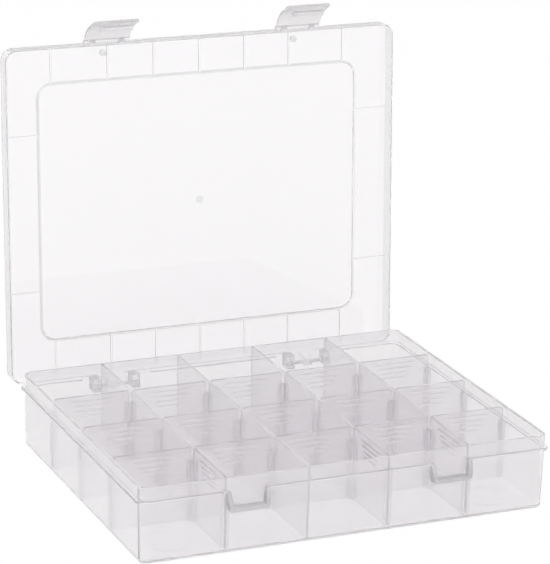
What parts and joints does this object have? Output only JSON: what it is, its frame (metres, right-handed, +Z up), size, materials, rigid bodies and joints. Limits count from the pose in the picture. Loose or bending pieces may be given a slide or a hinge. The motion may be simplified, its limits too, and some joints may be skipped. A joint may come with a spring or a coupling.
{
  "type": "compartment box",
  "caption": "Clear plastic compartment box for sorting beads, with a hinged lid, snap latches on its front edge and lift-out ribbed dividers.",
  "frame": {"origin": "on the table, at the middle of the tray's flat underside", "axes": "X across the width to the right, Y from the front (latch side) to the back (hinge side), Z up"},
  "size_m": [0.2844, 0.2712, 0.2874],
  "materials": {
    "clear_plastic": "clear, polished",
    "latch_plastic": "slightly milky"
  },
  "bodies": {
    "tray": {"tray": "clear_plastic"},
    "lid": {"lid": "clear_plastic"},
    "latch_left": {"latch_left": "latch_plastic"},
    "latch_right": {"latch_right": "latch_plastic"},
    "divider_col1_row1": {"divider_col1_row1": "clear_plastic"},
    "divider_col1_row2": {"divider_col1_row2": "clear_plastic"},
    "divider_col1_row3": {"divider_col1_row3": "clear_plastic"},
    "divider_col2_row1": {"divider_col2_row1": "clear_plastic"},
    "divider_col2_row2": {"divider_col2_row2": "clear_plastic"},
    "divider_col2_row3": {"divider_col2_row3": "clear_plastic"},
    "divider_col3_row1": {"divider_col3_row1": "clear_plastic"},
    "divider_col3_row2": {"divider_col3_row2": "clear_plastic"},
    "divider_col3_row3": {"divider_col3_row3": "clear_plastic"},
    "divider_col4_row1": {"divider_col4_row1": "clear_plastic"},
    "divider_col4_row2": {"divider_col4_row2": "clear_plastic"},
    "divider_col4_row3": {"divider_col4_row3": "clear_plastic"},
    "divider_col5_row1": {"divider_col5_row1": "clear_plastic"},
    "divider_col5_row2": {"divider_col5_row2": "clear_plastic"},
    "divider_col5_row3": {"divider_col5_row3": "clear_plastic"},
    "divider_front_wall1": {"divider_front_wall1": "clear_plastic"},
    "divider_front_wall3": {"divider_front_wall3": "clear_plastic"},
    "divider_front_wall4": {"divider_front_wall4": "clear_plastic"}
  },
  "joints": [
    {"name": "lid_hinge", "type": "hinge", "parent": "tray", "child": "lid", "pos_m": [0, 0.119, 0.0326], "axis": [-1, 0, 0], "range_deg": [-93.2, 0]},
    {"name": "latch_left_pivot", "type": "hinge", "parent": "lid", "child": "latch_left", "pos_m": [-0.0698, 0.14387, 0.26783], "axis": [-1, 0, 0], "range_deg": [-36, 45]},
    {"name": "latch_right_pivot", "type": "hinge", "parent": "lid", "child": "latch_right", "pos_m": [0.0698, 0.14387, 0.26783], "axis": [-1, 0, 0], "range_deg": [-40, 41]},
    {"name": "divider_col1_row1_lift", "type": "slide", "parent": "tray", "child": "divider_col1_row1", "axis": [0, 0, 1], "range_m": [0, 0.055]},
    {"name": "divider_col1_row2_lift", "type": "slide", "parent": "tray", "child": "divider_col1_row2", "axis": [0, 0, 1], "range_m": [0, 0.055]},
    {"name": "divider_col1_row3_lift", "type": "slide", "parent": "tray", "child": "divider_col1_row3", "axis": [0, 0, 1], "range_m": [0, 0.055]},
    {"name": "divider_col2_row1_lift", "type": "slide", "parent": "tray", "child": "divider_col2_row1", "axis": [0, 0, 1], "range_m": [0, 0.055]},
    {"name": "divider_col2_row2_lift", "type": "slide", "parent": "tray", "child": "divider_col2_row2", "axis": [0, 0, 1], "range_m": [0, 0.055]},
    {"name": "divider_col2_row3_lift", "type": "slide", "parent": "tray", "child": "divider_col2_row3", "axis": [0, 0, 1], "range_m": [0, 0.055]},
    {"name": "divider_col3_row1_lift", "type": "slide", "parent": "tray", "child": "divider_col3_row1", "axis": [0, 0, 1], "range_m": [0, 0.055]},
    {"name": "divider_col3_row2_lift", "type": "slide", "parent": "tray", "child": "divider_col3_row2", "axis": [0, 0, 1], "range_m": [0, 0.055]},
    {"name": "divider_col3_row3_lift", "type": "slide", "parent": "tray", "child": "divider_col3_row3", "axis": [0, 0, 1], "range_m": [0, 0.055]},
    {"name": "divider_col4_row1_lift", "type": "slide", "parent": "tray", "child": "divider_col4_row1", "axis": [0, 0, 1], "range_m": [0, 0.055]},
    {"name": "divider_col4_row2_lift", "type": "slide", "parent": "tray", "child": "divider_col4_row2", "axis": [0, 0, 1], "range_m": [0, 0.055]},
    {"name": "divider_col4_row3_lift", "type": "slide", "parent": "tray", "child": "divider_col4_row3", "axis": [0, 0, 1], "range_m": [0, 0.055]},
    {"name": "divider_col5_row1_lift", "type": "slide", "parent": "tray", "child": "divider_col5_row1", "axis": [0, 0, 1], "range_m": [0, 0.055]},
    {"name": "divider_col5_row2_lift", "type": "slide", "parent": "tray", "child": "divider_col5_row2", "axis": [0, 0, 1], "range_m": [0, 0.055]},
    {"name": "divider_col5_row3_lift", "type": "slide", "parent": "tray", "child": "divider_col5_row3", "axis": [0, 0, 1], "range_m": [0, 0.055]},
    {"name": "divider_front_wall1_lift", "type": "slide", "parent": "tray", "child": "divider_front_wall1", "axis": [0, 0, 1], "range_m": [0, 0.055]},
    {"name": "divider_front_wall3_lift", "type": "slide", "parent": "tray", "child": "divider_front_wall3", "axis": [0, 0, 1], "range_m": [0, 0.055]},
    {"name": "divider_front_wall4_lift", "type": "slide", "parent": "tray", "child": "divider_front_wall4", "axis": [0, 0, 1], "range_m": [0, 0.055]}
  ]
}
